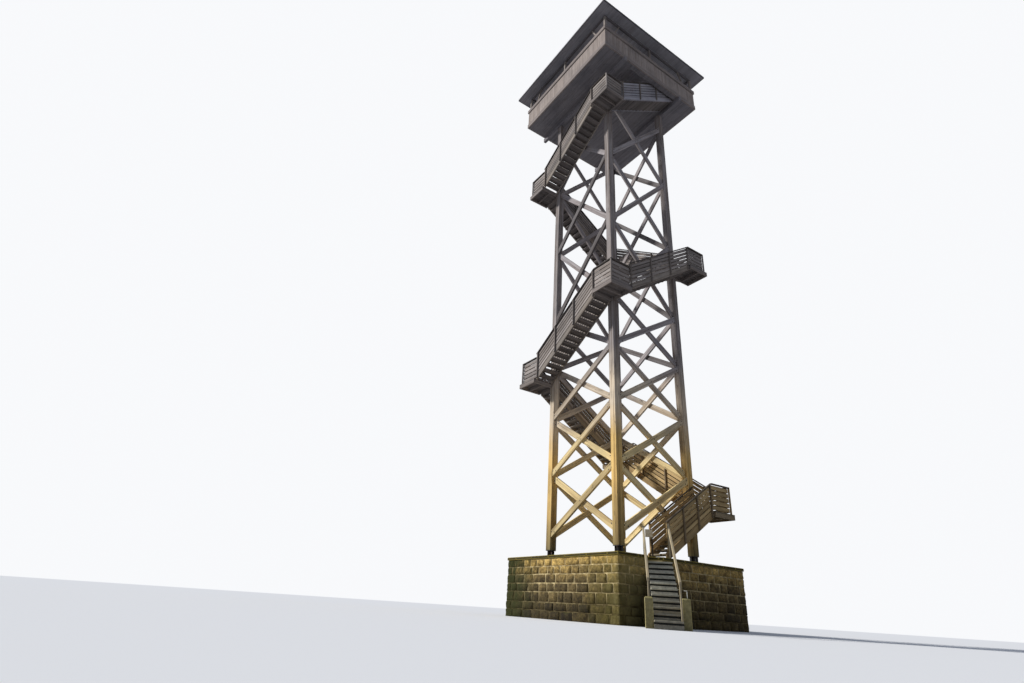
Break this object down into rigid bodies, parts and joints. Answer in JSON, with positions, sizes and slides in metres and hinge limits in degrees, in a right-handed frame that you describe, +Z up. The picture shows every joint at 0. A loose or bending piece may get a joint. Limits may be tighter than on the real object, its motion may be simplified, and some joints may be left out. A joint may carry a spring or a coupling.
{
  "type": "fire lookout tower",
  "caption": "Open braced timber tower on a square stone plinth, with a stair winding outside the frame up to a roofed lookout cabin.",
  "frame": {"origin": "centre of the square plinth's underside", "axes": "+Z up, -Y is the side where the stair leaves the plinth, the entrance stair comes from the -X -Y corner's side"},
  "size_m": [7.73, 9.5562, 29.7657],
  "materials": {
    "masonry": "rough",
    "coping_stone": "rough, mossy",
    "flagstones": "rough",
    "step_core": "rough",
    "step_stone": "worn",
    "bollard_stone": "mossy",
    "pale_timber": "weathered",
    "dark_steel": "dull",
    "notice_sheet": "dull",
    "post_timber": "weathered",
    "brace_timber": "weathered",
    "stringer_timber": "weathered",
    "tread_timber": "weathered",
    "handrail_timber": "weathered",
    "rail_board_timber": "weathered",
    "beam_timber": "weathered",
    "soffit_timber": "dull",
    "parapet_timber": "weathered",
    "parapet_rail_timber": "weathered",
    "cabin_timber": "weathered",
    "roof_timber": "dull",
    "roof_cover": "dull"
  },
  "bodies": {
    "root": {"plinth_wall": "masonry", "plinth_coping": "coping_stone", "plinth_floor": "flagstones", "entrance_core": "step_core", "entrance_slabs": "step_stone", "bollards": "bollard_stone", "entrance_rails": "pale_timber", "bollard_hook": "dark_steel", "notice_post": "dark_steel", "notice_board": "notice_sheet", "post_shoes": "dark_steel", "posts": "post_timber", "braces_front": "brace_timber", "braces_right": "brace_timber", "braces_back": "brace_timber", "braces_left": "brace_timber", "flight_stringers": "stringer_timber", "flight_treads": "tread_timber", "rail_posts": "handrail_timber", "rail_boards": "rail_board_timber", "handrails": "handrail_timber", "inner_posts": "handrail_timber", "inner_boards": "rail_board_timber", "inner_handrails": "handrail_timber", "landing_decks": "tread_timber", "landing_beams": "stringer_timber", "main_beams": "beam_timber", "cabin_soffit": "soffit_timber", "cabin_joists": "beam_timber", "cabin_deck": "tread_timber", "parapet_panels": "parapet_timber", "parapet_rails": "parapet_rail_timber", "parapet_skirt": "parapet_rail_timber", "cabin_posts": "cabin_timber", "knee_braces": "cabin_timber", "wall_plates": "cabin_timber", "roof_ceiling": "roof_timber", "rafters": "roof_timber", "roof_cover": "roof_cover", "roof_fascia": "roof_timber"}
  },
  "joints": []
}
